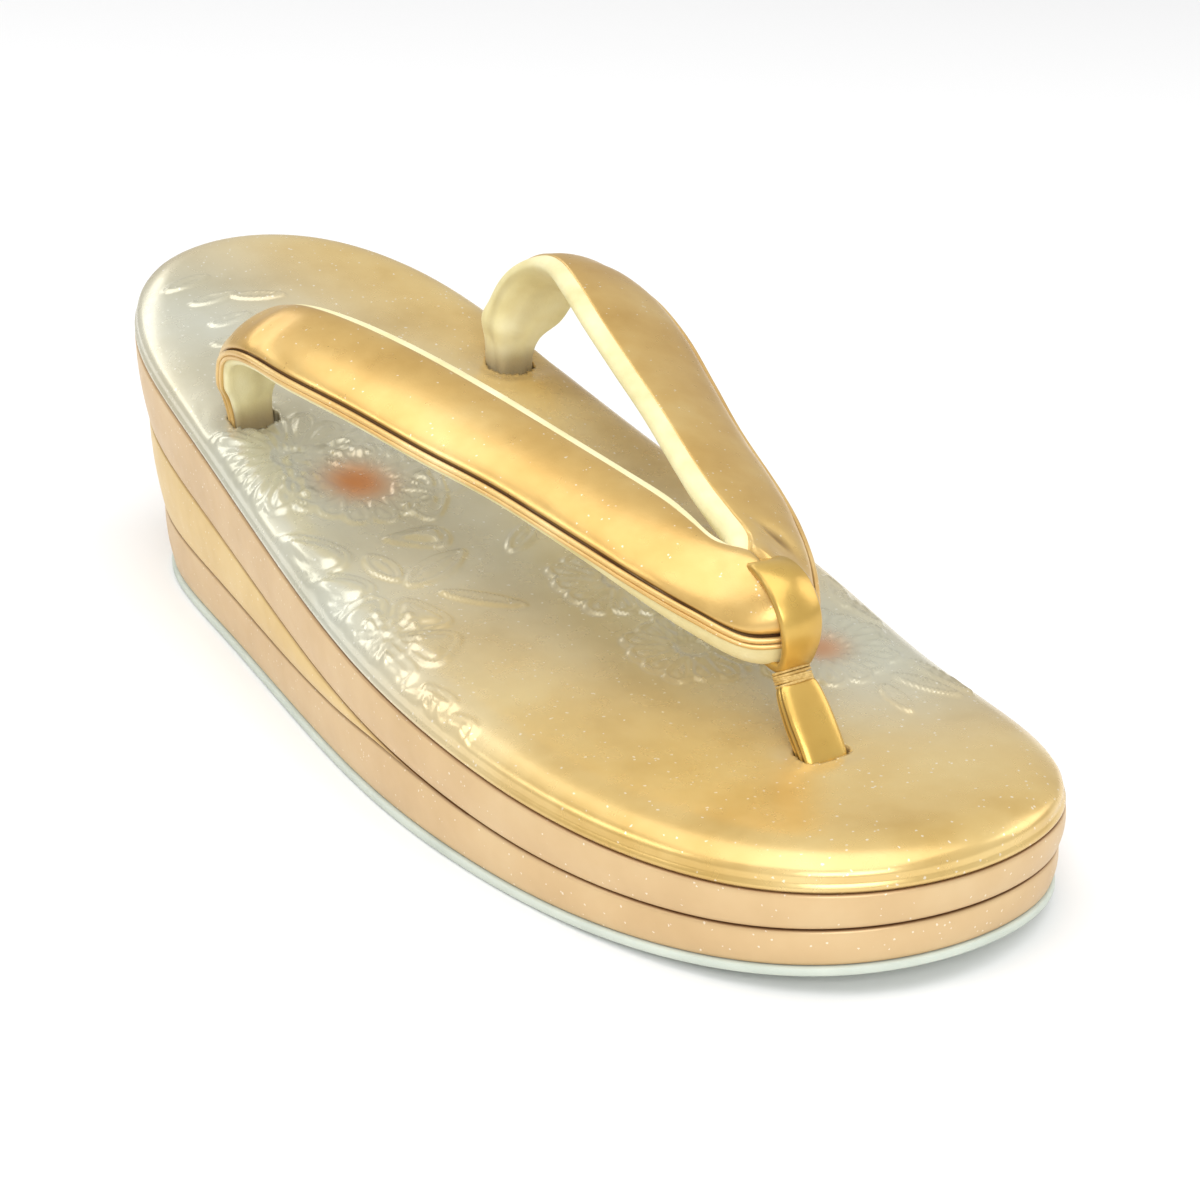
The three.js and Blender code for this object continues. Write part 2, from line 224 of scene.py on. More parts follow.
def from_table(table, column, share):
    """Smooth values between the rows of a table whose first column is the share."""
    share = np.clip(share, table[0, 0], table[-1, 0])
    row = np.clip(np.searchsorted(table[:, 0], share, side="right") - 1, 0, len(table) - 2)
    before = np.maximum(np.arange(len(table)) - 1, 0)
    after = np.minimum(np.arange(len(table)) + 1, len(table) - 1)
    slope = (table[after, column] - table[before, column]) / (table[after, 0] - table[before, 0])
    run = table[row + 1, 0] - table[row, 0]
    t = (share - table[row, 0]) / run
    start = (1 + 2 * t) * (1 - t) ** 2 * table[row, column] + t * (1 - t) ** 2 * run * slope[row]
    end = t * t * (3 - 2 * t) * table[row + 1, column] + t * t * (t - 1) * run * slope[row + 1]
    return start + end


def spring(y):
    past = np.maximum(from_heel(y) - SPRING_START, 0) / (1 - SPRING_START)
    return TOE_SPRING * past ** 2


def height(column, y):
    return from_table(LAYER_HEIGHTS, column, from_heel(y)) + spring(y)


def sole_outline(count):
    """Points at even steps from the heel tip forward on the medial side, then back."""
    heel, toe = np.array([[0.0, 0.0]]), np.array([[0.0, -1.0]])
    medial = np.column_stack([SOLE_WIDTHS[:, 1], -SOLE_WIDTHS[:, 0]])
    lateral = np.column_stack([-SOLE_WIDTHS[::-1, 2], -SOLE_WIDTHS[::-1, 0]])
    control = np.concatenate([heel, medial, toe, lateral])
    n = len(control)
    u = np.linspace(0, n, 4 * count, endpoint=False)
    i = np.floor(u).astype(int)
    t = (u - i)[:, None]
    curve = (
        control[(i - 1) % n] * (1 - t) ** 3 / 6
        + control[i % n] * (3 * t ** 3 - 6 * t ** 2 + 4) / 6
        + control[(i + 1) % n] * (-3 * t ** 3 + 3 * t ** 2 + 3 * t + 1) / 6
        + control[(i + 2) % n] * t ** 3 / 6
    )
    y = curve[:, 1]
    curve[:, 1] = ((y - y.min()) / (y.max() - y.min()) - 0.5) * LENGTH
    half = len(curve) // 2
    sides = [curve[: half + 1], np.concatenate([curve[half:], curve[:1]])]
    even = []
    for side in sides:
        reach = np.concatenate([[0], np.cumsum(np.linalg.norm(np.diff(side, axis=0), axis=1))])
        steps = np.linspace(0, reach[-1], count // 2, endpoint=False)
        even.append(np.column_stack([np.interp(steps, reach, side[:, c]) for c in (0, 1)]))
    return np.concatenate(even)


OUTLINE = sole_outline(OUTLINE_POINTS)
OUTLINE_RUN = closed_run(OUTLINE)
OUTWARD = unit_rows(np.column_stack([-OUTLINE_RUN[:, 1], OUTLINE_RUN[:, 0]]))


def ring(inset, height_at):
    """The outline moved in by inset (a number or one for each point), at height_at(y)."""
    inset = np.broadcast_to(inset, (OUTLINE_POINTS,))
    flat = OUTLINE - OUTWARD * inset[:, None]
    return np.column_stack([flat, height_at(flat[:, 1])])


def rake(y, z):
    full = HEEL_RAKE * (1 - from_heel(y)) ** 2 + WALL_RAKE
    top = height(UNDER_PAD, y) - spring(y)
    return full * (1 - (z - spring(y)) / top)


# ------ mesh helpers
TUBE_START = (0.31, 0.22, 0.93)
FINE_STEPS = 24


def band_faces(rows, columns, closed_rows=False):
    """Quads between rows of points that each close on themselves."""
    faces = []
    last = rows if closed_rows else rows - 1
    for r in range(last):
        low = r * columns
        high = ((r + 1) % rows) * columns
        for c in range(columns):
            d = (c + 1) % columns
            faces.append((low + c, low + d, high + d, high + c))
    return faces


def lofted_faces(rows, columns):
    """Quads between the rows, and a face over the first row and the last."""
    faces = band_faces(rows, columns)
    faces.append(tuple(range(columns))[::-1])
    faces.append(tuple(range((rows - 1) * columns, rows * columns)))
    return faces


def make_object(name, points, faces, material, attributes=None):
    """A smooth object. Each attribute holds one number for each point."""
    mesh = bpy.data.meshes.new(name)
    mesh.from_pydata(to_world(points).tolist(), [], faces)
    for key, values in (attributes or {}).items():
        layer = mesh.attributes.new(key, "FLOAT", "POINT")
        layer.data.foreach_set("value", np.asarray(values, dtype=np.float32))
    mesh.validate()
    bm = bmesh.new()
    bm.from_mesh(mesh)
    bmesh.ops.recalc_face_normals(bm, faces=bm.faces)
    bm.to_mesh(mesh)
    bm.free()
    mesh.polygons.foreach_set("use_smooth", [True] * len(mesh.polygons))
    mesh.materials.append(material)
    return add_object(name, mesh)


def finish_piece(piece, slot, *nodes):
    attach(piece, "root")
    if nodes:
        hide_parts(*nodes)


def tube(path, radius, sides):
    """A round tube along an open path. TUBE_START is a direction that no path starts in."""
    path = np.asarray(path, dtype=float)
    along = unit_rows(np.gradient(path, axis=0))
    side = np.cross(along[0], TUBE_START)
    side /= np.linalg.norm(side)
    points = []
    for centre, forward in zip(path, along):
        side = side - forward * side.dot(forward)
        side /= np.linalg.norm(side)
        other = np.cross(forward, side)
        for k in range(sides):
            a = 2 * math.pi * k / sides
            points.append(centre + radius * (math.cos(a) * side + math.sin(a) * other))
    return np.array(points), lofted_faces(len(path), sides)


def smooth_path(points, count, closed=False):
    """A smooth curve through the points (Catmull-Rom), at even steps."""
    points = np.asarray(points, dtype=float)
    n = len(points)
    fine = []
    spans = n if closed else n - 1
    for i in range(spans):
        four = np.arange(i - 1, i + 3)
        p = points[four % n if closed else np.clip(four, 0, n - 1)]
        for t in np.linspace(0, 1, FINE_STEPS, endpoint=False):
            fine.append(0.5 * (2 * p[1] + (p[2] - p[0]) * t
                               + (2 * p[0] - 5 * p[1] + 4 * p[2] - p[3]) * t * t
                               + (3 * p[1] - 3 * p[2] + p[3] - p[0]) * t ** 3))
    fine.append(points[0] if closed else points[-1])
    fine = np.array(fine)
    step = np.concatenate([[0], np.cumsum(np.linalg.norm(np.diff(fine[:, :3], axis=0), axis=1))])
    at = np.linspace(0, step[-1], count, endpoint=not closed)
    return np.column_stack([np.interp(at, step, fine[:, c]) for c in range(points.shape[1])])


# ------ materials
# Painted shade: the brown laid into the grooves where the sole's layers meet and at the foot of the
# insole's lip.
PAINTED_SEAM_SHADE = (0.24, 0.115, 0.045)
GLITTER_CELLS = 3600.0
PEARL_GLITTER_CELLS = 3000.0
PEARL_GLITTER = 0.007
GLITTER_MIX = 0.5
VELVET_SHEEN = 0.18


def node_material(name):
    material = bpy.data.materials.new(name)
    material.use_nodes = True
    tree = material.node_tree
    return material, tree, tree.nodes["Principled BSDF"]


def feed(tree, node, **values):
    """Sets or links the inputs of a node, with _ for a space in their names."""
    for key, value in values.items():
        socket = node.inputs[key.replace("_", " ")]
        if hasattr(value, "is_linked"):
            tree.links.new(value, socket)
        else:
            socket.default_value = value


def object_place(tree):
    return tree.nodes.new("ShaderNodeTexCoord").outputs["Object"]


def noise(tree, place, scale, detail, roughness=0.5):
    node = tree.nodes.new("ShaderNodeTexNoise")
    feed(tree, node, Vector=place, Scale=scale, Detail=detail, Roughness=roughness)
    return node.outputs["Fac"]


def ramp(tree, factor, *stops):
    """Colours along a factor. Each stop is its place from 0 to 1 and its colour."""
    node = tree.nodes.new("ShaderNodeValToRGB")
    elements = node.color_ramp.elements
    while len(elements) < len(stops):
        elements.new(0.5)
    for element, (place, colour) in zip(elements, stops):
        element.position = place
        element.color = (*colour, 1.0)
    feed(tree, node, Fac=factor)
    return node.outputs["Color"]


def mix(tree, factor, under, over):
    """Lays over, a socket or a plain colour, on the colour under it."""
    node = tree.nodes.new("ShaderNodeMix")
    node.data_type = "RGBA"
    over = over if hasattr(over, "is_linked") else (*over, 1.0)
    feed(tree, node, Factor=factor, A=under, B=over)
    return node.outputs["Result"]


def math_node(tree, operation, level, *numbers):
    """A level worked on with plain numbers, such as level * a + b for MULTIPLY_ADD."""
    node = tree.nodes.new("ShaderNodeMath")
    node.operation = operation
    tree.links.new(level, node.inputs[0])
    for i, number in enumerate(numbers, 1):
        node.inputs[i].default_value = number
    return node.outputs["Value"]


def attribute(tree, name):
    node = tree.nodes.new("ShaderNodeAttribute")
    node.attribute_name = name
    return node.outputs["Fac"]


def bump(tree, shader, *layers):
    """Chains layers of (level, strength, distance in mm) into the shader's normal."""
    normal = None
    for level, strength, distance in layers:
        node = tree.nodes.new("ShaderNodeBump")
        feed(tree, node, Strength=strength, Distance=distance * MM, Height=level)
        if normal is not None:
            feed(tree, node, Normal=normal)
        normal = node.outputs["Normal"]
    feed(tree, shader, Normal=normal)


def add_glitter(tree, place, tone, scale, share, colour):
    """Tints a few small cells of the tone with a bright colour."""
    cells = tree.nodes.new("ShaderNodeTexVoronoi")
    feed(tree, cells, Vector=place, Scale=scale)
    split = tree.nodes.new("ShaderNodeSeparateColor")
    feed(tree, split, Color=cells.outputs["Color"])
    flecks = math_node(tree, "GREATER_THAN", split.outputs["Red"], 1.0 - share)
    return mix(tree, math_node(tree, "MULTIPLY", flecks, GLITTER_MIX), tone, colour)


def leather(name, colour, dark, light, metallic, roughness, grain=1500.0, glitter=0.006, edge=None):
    """Coated leather: fine grain, soft cloudy tone, specks of glitter, and painted shade in the dark
    colour given, on seams, creases, folds and turned edges.
    """
    material, tree, shader = node_material(name)
    place = object_place(tree)
    cloud = noise(tree, place, 55.0, 4.0, 0.55)
    tone = ramp(tree, cloud, (0.30, dark), (0.52, colour), (0.75, light))
    tone = add_glitter(tree, place, tone, GLITTER_CELLS, glitter, (0.96, 0.93, 0.82))
    # Painted shade: the dark colour is laid over the tone as far as the mesh's shade attribute reaches.
    if edge:
        tone = mix(tree, attribute(tree, "PaintedShade"), tone, edge)
    rough = math_node(tree, "MULTIPLY_ADD", noise(tree, place, 320.0, 2.0), 0.16, roughness - 0.08)
    feed(tree, shader, Base_Color=tone, Metallic=metallic, Roughness=rough)
    bump(tree, shader,
         (noise(tree, place, grain, 1.0), 0.22, 0.05),
         (noise(tree, place, 160.0, 2.0), 0.25, 0.06))
    return material


def rubber():
    material, tree, shader = node_material("outsole_rubber")
    place = object_place(tree)
    tone = ramp(tree, noise(tree, place, 90.0, 4.0),
                (0.3, (0.50, 0.55, 0.48)), (0.7, (0.60, 0.65, 0.57)))
    feed(tree, shader, Base_Color=tone, Roughness=0.62)
    bump(tree, shader, (noise(tree, place, 900.0, 2.0), 0.4, 0.06))
    return material


def velvet():
    """Short cream pile. Painted shade makes it brown and takes away its sheen in creases and gathers."""
    material, tree, shader = node_material("cream_velvet")
    place = object_place(tree)
    tone = ramp(tree, noise(tree, place, 120.0, 5.0),
                (0.25, (0.66, 0.57, 0.27)), (0.55, (0.77, 0.70, 0.40)), (0.8, (0.83, 0.78, 0.51)))
    tone = mix(tree, attribute(tree, "PaintedShade"), tone, (0.13, 0.055, 0.015))
    pile = math_node(tree, "MULTIPLY_ADD", attribute(tree, "PaintedShade"), -VELVET_SHEEN, VELVET_SHEEN)
    feed(tree, shader, Base_Color=tone, Roughness=0.85, Sheen_Weight=pile, Sheen_Roughness=0.45,
         Sheen_Tint=(1.0, 0.97, 0.85, 1.0))
    bump(tree, shader, (noise(tree, place, 2600.0, 3.0), 0.6, 0.10))
    return material


def thread_fibre():
    material, tree, shader = node_material("gold_thread")
    place = object_place(tree)
    tone = ramp(tree, noise(tree, place, 1400.0, 2.0),
                (0.3, (0.48, 0.30, 0.08)), (0.7, (0.72, 0.52, 0.20)))
    feed(tree, shader, Base_Color=tone, Metallic=0.2, Roughness=0.5)
    bump(tree, shader, (noise(tree, place, 3000.0, 2.0), 0.5, 0.05))
    return material


def insole_leather():
    """Pearl leather that blends from gold to silver, with airbrushed orange spots."""
    material, tree, shader = node_material("insole_pearl_leather")
    place = object_place(tree)
    cloud = noise(tree, place, 38.0, 4.0, 0.55)
    gold = ramp(tree, cloud, (0.28, (0.56, 0.36, 0.10)), (0.5, (0.69, 0.485, 0.18)),
                (0.75, (0.76, 0.575, 0.25)))
    silver = ramp(tree, cloud, (0.30, (0.53, 0.515, 0.39)), (0.55, (0.60, 0.595, 0.485)),
                  (0.8, (0.65, 0.66, 0.575)))
    tone = mix(tree, attribute(tree, "Silver"), gold, silver)
    tone = mix(tree, attribute(tree, "Blush"), tone, (0.62, 0.225, 0.05))
    tone = add_glitter(tree, place, tone, PEARL_GLITTER_CELLS, PEARL_GLITTER, (0.97, 0.95, 0.86))
    # Painted shade at the foot of the lip, in the seam brown.
    tone = mix(tree, attribute(tree, "PaintedShade"), tone, PAINTED_SEAM_SHADE)
    rough = math_node(tree, "MULTIPLY_ADD", noise(tree, place, 260.0, 3.0), 0.14, 0.19)
    feed(tree, shader, Base_Color=tone, Metallic=0.42, Roughness=rough)
    bump(tree, shader,
         (noise(tree, place, 1300.0, 1.0), 0.12, 0.05),
         (noise(tree, place, 120.0, 2.0), 0.2, 0.10))
    return material


rose_leather = leather(
    "rose_gold_leather", colour=(0.63, 0.44, 0.225), dark=(0.58, 0.395, 0.195),
    light=(0.67, 0.49, 0.265), metallic=0.3, roughness=0.40, edge=PAINTED_SEAM_SHADE)
wedge_leather = leather(
    "yellow_gold_leather", colour=(0.70, 0.50, 0.205), dark=(0.64, 0.44, 0.165),
    light=(0.75, 0.56, 0.26), metallic=0.3, roughness=0.40, edge=PAINTED_SEAM_SHADE)
strap_leather = leather(
    "strap_gold_leather", colour=(0.67, 0.44, 0.145), dark=(0.58, 0.355, 0.098),
    light=(0.75, 0.54, 0.215), metallic=0.55, roughness=0.30, grain=1900.0, glitter=0.004,
    edge=(0.14, 0.055, 0.012))
piping_leather = leather(
    "piping_gold_leather", colour=(0.72, 0.49, 0.19), dark=(0.62, 0.38, 0.12),
    light=(0.84, 0.64, 0.32), metallic=0.45, roughness=0.36)
band_leather = leather(
    "antique_gold_leather", colour=(0.66, 0.43, 0.105), dark=(0.58, 0.355, 0.078),
    light=(0.75, 0.52, 0.15), metallic=0.55, roughness=0.30, glitter=0.0, edge=(0.10, 0.045, 0.01))
outsole_rubber = rubber()
cream_velvet = velvet()
gold_thread = thread_fibre()
pearl_leather = insole_leather()


# ------ sole layers
EDGE_ROLL = 0.5
WALL_BULGE = 0.45
WEDGE_BULGE = 0.5
FULL_BULGE_THICKNESS = 5.0
WALL_ROWS = 15
LEAST_THICKNESS = 0.05
LEAST_WEDGE = 0.02
OUTSOLE_GAP = 0.05
SEAM_SHADE_REACH = 0.38
SEAM_SHADE_FALL = 1.5

# The outsole's section from under the sole, round its softened edge, to its top.
OUTSOLE_EDGE = [
    # inset, height
    (2.2, 0.0), (0.5, 0.0), (0.15, 0.12), (0.0, 0.4), (0.0, 1.1), (0.12, 1.42),
    (0.45, OUTSOLE_RUBBER), (2.2, OUTSOLE_RUBBER),
]


def ladder_faces(start):
    """Rungs from side to side over the outline's ring whose first point is number start."""
    n = OUTLINE_POINTS
    faces = [(start, start + 1, start + n - 1)]
    for i in range(1, n // 2 - 1):
        faces.append((start + i, start + i + 1, start + n - i - 1, start + n - i))
    faces.append((start + n // 2 - 1, start + n // 2, start + n // 2 + 1))
    return faces


def stacked(rings):
    """Points and faces of a body stacked from outline rings, closed at both ends."""
    faces = band_faces(len(rings), OUTLINE_POINTS)
    faces += [face[::-1] for face in ladder_faces(0)]
    faces += ladder_faces((len(rings) - 1) * OUTLINE_POINTS)
    return np.concatenate(rings), faces


def layer_wall(low_at, high_at, bulge, cut_y):
    """Rings up a layer's wall. Both edges roll in, and the middle swells a little."""
    y = OUTLINE[:, 1]
    thick = np.maximum(high_at(y) - low_at(y), LEAST_THICKNESS)
    edge = np.minimum(EDGE_ROLL, thick / 2)
    rings, shade = [], []
    for t in 0.5 - 0.5 * np.cos(np.linspace(0, math.pi, WALL_ROWS)):
        def level(y, t=t):
            return low_at(y) + (high_at(y) - low_at(y)) * t

        near = np.minimum(t, 1 - t) * thick
        curl = edge * (1 - np.sqrt(np.clip(1 - (1 - np.minimum(near / edge, 1)) ** 2, 0, 1)))
        swell = bulge * np.sin(math.pi * t) * np.minimum(thick / FULL_BULGE_THICKNESS, 1)
        points = ring(rake(y, level(y)) - swell + curl, level)
        if cut_y is not None:
            points = truncate(points, level, cut_y)
        rings.append(points)
        # Painted shade, darkest in the groove where each edge rolls in against the next layer.
        shade.append(np.clip(1 - near / SEAM_SHADE_REACH, 0, 1) ** SEAM_SHADE_FALL)
    return rings, np.concatenate(shade)


def truncate(points, level, cut_y):
    """Lays the part of a ring that lies past cut_y along a straight line across the sole."""
    points = points.copy()
    half = len(points) // 2
    for side in (range(0, half + 1), range(len(points) - 1, half, -1)):
        past = [i for i in side if points[i, 1] < cut_y]
        edge_x = points[past[0], 0]
        steps = max(half - side.index(past[0]), 1)
        for step, i in enumerate(past):
            points[i, 0] = edge_x * (1 - step / steps)
            points[i, 1] = cut_y
            points[i, 2] = level(cut_y)
    points[half, 0] = 0.0
    return points


def make_layer(name, material, slot, node, low_at, high_at, bulge=WALL_BULGE, cut_y=None):
    rings, shade = layer_wall(low_at, high_at, bulge, cut_y)
    points, faces = stacked(rings)
    piece = make_object(name, points, faces, material, {"PaintedShade": shade})
    finish_piece(piece, slot, node)


def make_sole():
    def wedge_top(y):
        return np.maximum(height(UNDER_TOP, y), height(OVER_BASE, y) + LEAST_WEDGE)

    make_layer("base_layer_cover", rose_leather, "rose_gold_leather", "sole_base_layer",
               low_at=lambda y: spring(y) + OUTSOLE_RUBBER + OUTSOLE_GAP,
               high_at=lambda y: height(OVER_BASE, y) - FIT_GAP)
    make_layer("wedge_cover", wedge_leather, "yellow_gold_leather", "heel_wedge",
               low_at=lambda y: height(OVER_BASE, y),
               high_at=wedge_top,
               bulge=WEDGE_BULGE, cut_y=(0.5 - WEDGE_END) * LENGTH)
    make_layer("top_layer_cover", rose_leather, "rose_gold_leather", "sole_top_layer",
               low_at=lambda y: height(UNDER_TOP, y) + FIT_GAP,
               high_at=lambda y: height(UNDER_PAD, y))


def make_outsole():
    """A rubber sheet with a softened edge."""
    y = OUTLINE[:, 1]
    foot = rake(y, spring(y)) - OUTSOLE_MARGIN
    rings = [ring(foot + inset, lambda y, up=up: spring(y) + up) for inset, up in OUTSOLE_EDGE]
    points, faces = stacked(rings)
    piece = make_object("outsole_sheet", points, faces, outsole_rubber)
    finish_piece(piece, "outsole_rubber", "outsole")


# ------ the insole's flower relief
PETAL_STEPS = 30
DAISY_FILL = 0.84
PUFF_RISE = 1.45
PILLOW_SOFT = 1.3
LINE_REACH = 2.6
BLOSSOM_HUB = 2.2
STAMENS = 15
STAMEN_FROM = 1.3
HEART_BEADS = 8


def petal_outline(length, width, tip, notch):
    """A petal along +X from the origin: tip 0 is round and 1 pointed, notch dents its end."""
    turn = np.linspace(0, 2 * math.pi, PETAL_STEPS)
    along = 0.5 * (1 - np.cos(turn))
    blunt = 1.22 * along ** 0.8 * (1 - along ** 5) ** 0.5
    sharp = 1.75 * along ** 0.75 * (1 - along) ** 0.85
    side = np.sign(np.sin(turn)) * (tip * sharp + (1 - tip) * blunt)
    dent = notch * bell(side, 0.35) * (along > 0.7)
    return np.column_stack([length * (along - dent), width / 2 * side])


def placed(shape, x, y, turn):
    """A shape turned by so many degrees and moved to (x, y)."""
    c, s = math.cos(math.radians(turn)), math.sin(math.radians(turn))
    return shape @ np.array([[c, s], [-s, c]]) + np.array([x, y])


def out_from(x, y, turn, reach):
    """The point at a distance from (x, y), in the direction turn in degrees."""
    a = math.radians(turn)
    return x + reach * math.cos(a), y + reach * math.sin(a)


class Relief:
    """Raised lines, beads and pillows on the insole, in plan millimetres."""

    def __init__(self):
        self.lines = []
        self.pillows = []

    def line(self, points, half_width=0.46, rise=0.60):
        self.lines.append((np.asarray(points, dtype=float), half_width, rise))

    def bead(self, x, y, radius=0.80, rise=0.70):
        """A round dot, which is a line that is almost a point."""
        self.line([(x, y), (x + 0.01, y)], radius, rise)

    def petal(self, x, y, turn, length, width, tip=0.0, notch=0.0, puff=0.3, vein=False):
        outline = placed(petal_outline(length, width, tip, notch), x, y, turn)
        self.line(outline)
        self.pillows.append((outline, PUFF_RISE * puff))
        if vein:
            middle = np.array([[0.25 * length, 0], [0.78 * length, 0]])
            self.line(placed(middle, x, y, turn), 0.28, 0.18)

    def daisy(self, x, y, radius, petals, start, hub, puff=0.42):
        """Narrow petals of slightly uneven length round a plain hub."""
        width = 2 * math.pi * radius / petals * DAISY_FILL
        for k in range(petals):
            turn = start + 360.0 * k / petals
            length = (radius - hub) * (0.92 + 0.08 * math.cos(2.4 * k))
            self.petal(*out_from(x, y, turn, hub), turn, length, width, puff=puff)

    def blossom(self, x, y, radius, petals, start):
        """Broad notched petals, a ring of stamens with beaded tips and a beaded heart."""
        for k in range(petals):
            turn = start + 360.0 * k / petals
            self.petal(*out_from(x, y, turn, BLOSSOM_HUB), turn, radius - BLOSSOM_HUB,
                       radius * 1.02, notch=0.04, puff=0.55)
        for k in range(STAMENS):
            turn = start + 360.0 / STAMENS * k + 6
            tip = out_from(x, y, turn, radius * (0.46 + 0.07 * math.cos(3 * k)))
            self.line([out_from(x, y, turn, STAMEN_FROM), tip], 0.36, 0.55)
            self.bead(*tip)
        for k in range(HEART_BEADS):
            self.bead(*out_from(x, y, 360.0 / HEART_BEADS * k, 1.0), 0.5, 0.4)

    def leaf(self, x, y, turn, length, width, veins=3):
        """A pointed petal with a rib, and pairs of side veins."""
        self.petal(x, y, turn, length, width, tip=1.0, puff=0.26)
        rib = np.array([[0.05 * length, 0], [0.5 * length, 0.05 * width], [0.92 * length, 0]])
        self.line(placed(rib, x, y, turn), 0.28, 0.24)
        for k in range(veins):
            at = (0.3 + 0.2 * k) * length
            for side in (-1, 1):
                vein = np.array([[at, 0], [at + 0.14 * length, side * 0.26 * width]])
                self.line(placed(vein, x, y, turn), 0.22, 0.14)

    def heights(self, points):
        """The height of the relief at each point: its highest pillow plus its highest line."""
        order = np.argsort(points[:, 1])
        sorted_y = points[order, 1]

        def nearby(low, high):
            """The numbers of the points in the box from low to high."""
            a, b = np.searchsorted(sorted_y, (low[1], high[1]))
            index = order[a:b]
            return index[(points[index, 0] > low[0]) & (points[index, 0] < high[0])]

        pillows = np.zeros(len(points))
        for outline, rise in self.pillows:
            index = nearby(outline.min(0), outline.max(0))
            depth = distance_to(points[index], np.concatenate([outline, outline[:1]]))
            lift = np.where(inside_outline(points[index], outline),
                            rise * (1 - bell(depth, PILLOW_SOFT)), 0)
            pillows[index] = np.maximum(pillows[index], lift)
        ridges = np.zeros(len(points))
        for path, half_width, rise in self.lines:
            reach = LINE_REACH * half_width
            index = nearby(path.min(0) - reach, path.max(0) + reach)
            away = distance_to(points[index], path)
            ridges[index] = np.maximum(ridges[index], rise * bell(away, half_width))
        return pillows + ridges


def flower_relief():
    relief = Relief()
    # lateral side, from the rear strap hole forward
    relief.daisy(-28.8, 39.5, 17.0, 16, 8.0, hub=3.4, puff=0.6)
    relief.daisy(-21.8, 27.7, 14.0, 15, 0.0, hub=6.6, puff=0.40)
    for x, y, turn, length, width in (
        (-42.5, 21.0, -75, 17.0, 8.5), (-46.8, 9.0, -62, 17.0, 8.5), (-27.0, 9.0, -18, 11.0, 7.5),
        (-48.0, -29.0, -80, 9.0, 5.5), (-44.0, -33.0, -95, 8.0, 5.0), (-46.0, -40.0, -80, 8.0, 4.5),
    ):
        relief.petal(x, y, turn, length, width, puff=0.8)
    relief.leaf(-32.5, 5.5, -85, 9.0, 7.5, veins=0)
    relief.leaf(-31.0, -5.5, 22, 15.5, 8.5, veins=2)
    relief.leaf(-27.0, -10.0, -42, 14.0, 4.6, veins=0)
    relief.blossom(-42.4, -17.8, 12.0, 5, 20.0)
    for k in range(4):
        relief.petal(-9.5, 18.0, 40 + 55 * k, 9.5, 7.0, notch=0.08, vein=True)
    # between and under the arms
    relief.daisy(3.0, -19.5, 12.5, 14, 10.0, hub=3.2, puff=0.5)
    relief.daisy(1.0, -44.0, 11.5, 13, 0.0, hub=3.0, puff=0.48)
    relief.daisy(7.0, 42.0, 12.0, 14, 0.0, hub=3.2)
    relief.leaf(-8.0, 33.0, 150, 11.0, 5.5)
    relief.leaf(12.0, 22.0, 60, 13.0, 6.0)
    relief.leaf(10.0, 8.0, -30, 13.0, 6.0)
    relief.leaf(-9.0, -3.0, 35, 12.0, 5.5)
    # medial side of the forefoot
    relief.daisy(20.7, -53.3, 13.5, 15, 5.0, hub=4.6, puff=0.5)
    relief.daisy(24.0, -22.0, 12.5, 14, 5.0, hub=4.4, puff=0.42)
    for x, y, turn, length, width in (
        (26.0, -67.0, -65, 12.0, 5.0), (32.0, -64.0, -80, 13.0, 4.6), (22.0, -69.0, -100, 10.0, 4.6),
        (33.5, -44.0, 70, 12.0, 5.0), (36.0, -50.0, 95, 11.0, 4.4), (13.0, -36.0, 160, 10.0, 5.0),
    ):
        relief.leaf(x, y, turn, length, width)
    # a faint spray on the heel
    for x, y, turn, length, width in (
        (-22.0, 101.0, 12, 10.0, 3.6), (-20.0, 94.5, 8, 10.0, 3.4), (-11.0, 94.5, -14, 10.0, 3.6),
        (-20.0, 86.5, 10, 9.0, 3.4), (-23.0, 80.0, 5, 8.0, 3.2), (-10.0, 85.0, -30, 9.0, 3.6),
    ):
        relief.leaf(x, y, turn, length, width, veins=0)
    return relief


# ------ the insole
BLUSH_SPOTS = [
    # x, y, radius, strength
    (-21.8, 28.0, 6.0, 0.95), (20.7, -53.3, 4.6, 0.7), (24.0, -22.0, 5.5, 0.9),
]
SILVER_CLOUDS = [
    # x, y, radius across, radius along, strength
    (-22.0, 92.0, 26.0, 40.0, 0.95),
    (-36.0, 40.0, 22.0, 46.0, 1.0),
    (-46.0, 0.0, 14.0, 40.0, 1.0),
    (-8.0, 40.0, 24.0, 40.0, 0.8),
    (-4.0, -2.0, 30.0, 34.0, 0.7),
    (10.0, -38.0, 26.0, 28.0, 0.85),
    (28.0, -56.0, 20.0, 30.0, 1.0),
]


def spread(points, clouds):
    """How strongly the soft clouds, laid over each other, cover each point."""
    total = np.zeros(len(points))
    for x, y, across, along, strength in clouds:
        far = ((points[:, 0] - x) / across) ** 2 + ((points[:, 1] - y) / along) ** 2
        total = 1 - (1 - total) * (1 - strength * np.exp(-far * 1.1))
    return total


def blush_at(plan):
    """How strongly the airbrushed spots colour each point."""
    blush = np.zeros(len(plan))
    for x, y, radius, strength in BLUSH_SPOTS:
        far = np.linalg.norm(plan - (x, y), axis=1) / radius
        blush = np.maximum(blush, strength * np.exp(-far ** 2.4))
    return blush


HOLE_POINTS = 48
HOLE_RIM, HOLE_DEPTH = 0.6, 3.6
DIMPLE_LIMIT = 16.0

# Heights over the seam: where the top starts, where the relief starts, and its rise to full.
TOP_FROM = 1.9
RELIEF_FROM, RELIEF_RISE = 3.2, 1.6
BLUSH_FLATTENS = 0.9
# Painted shade on the lowest rings of the insole's lip, in the groove over the seam.
FOOT_SHADES = [0.9, 0.55, 0.1]


